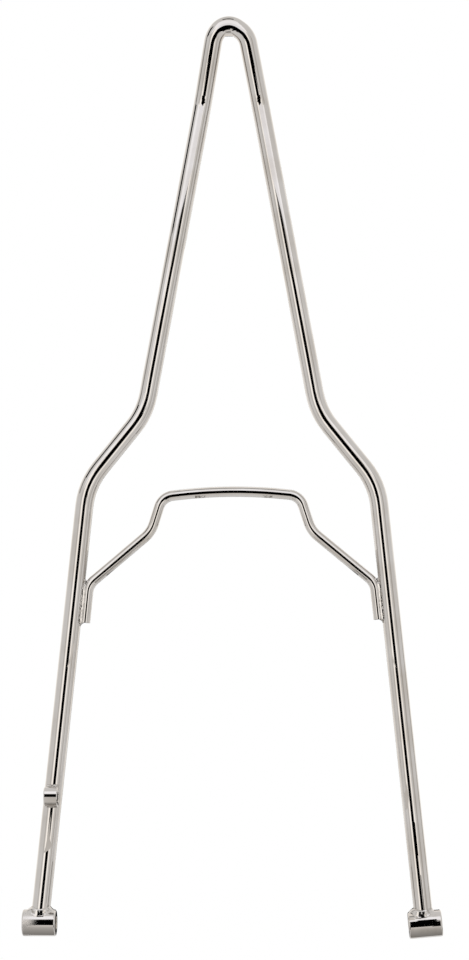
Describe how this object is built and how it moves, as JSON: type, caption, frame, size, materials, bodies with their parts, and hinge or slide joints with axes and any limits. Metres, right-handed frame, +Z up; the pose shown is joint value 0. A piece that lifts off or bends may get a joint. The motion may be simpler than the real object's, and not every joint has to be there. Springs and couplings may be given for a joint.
{
  "type": "sissy bar",
  "caption": "Tall narrow motorcycle sissy bar bent from one round bar, with a kicked-back top bow, an arched fender crossbar and cross-drilled foot lugs for bolting on.",
  "frame": {"origin": "middle of the left foot lug's bolt hole", "axes": "+Z up, +X from the left lug to the right lug (right of the bike), +Y towards the front of the bike; the top bow is bent back towards -Y"},
  "size_m": [0.3643, 0.0431, 0.8095],
  "materials": {
    "bar_chrome": "polished chrome plate on bent steel bar",
    "rod_chrome": "polished chrome plate on bent steel rod",
    "lug_chrome": "chrome plate over turned steel",
    "weld_chrome": "chrome plate over weld beads left as laid"
  },
  "bodies": {
    "root": {"hoop_bar": "bar_chrome", "fender_crossbar": "rod_chrome", "left_lug": "lug_chrome", "right_lug": "lug_chrome", "side_bung": "lug_chrome", "left_lug_weld": "weld_chrome", "right_lug_weld": "weld_chrome", "left_crossbar_weld_rear": "weld_chrome", "left_crossbar_weld_front": "weld_chrome", "right_crossbar_weld_rear": "weld_chrome", "right_crossbar_weld_front": "weld_chrome", "side_bung_weld": "weld_chrome"}
  },
  "joints": []
}
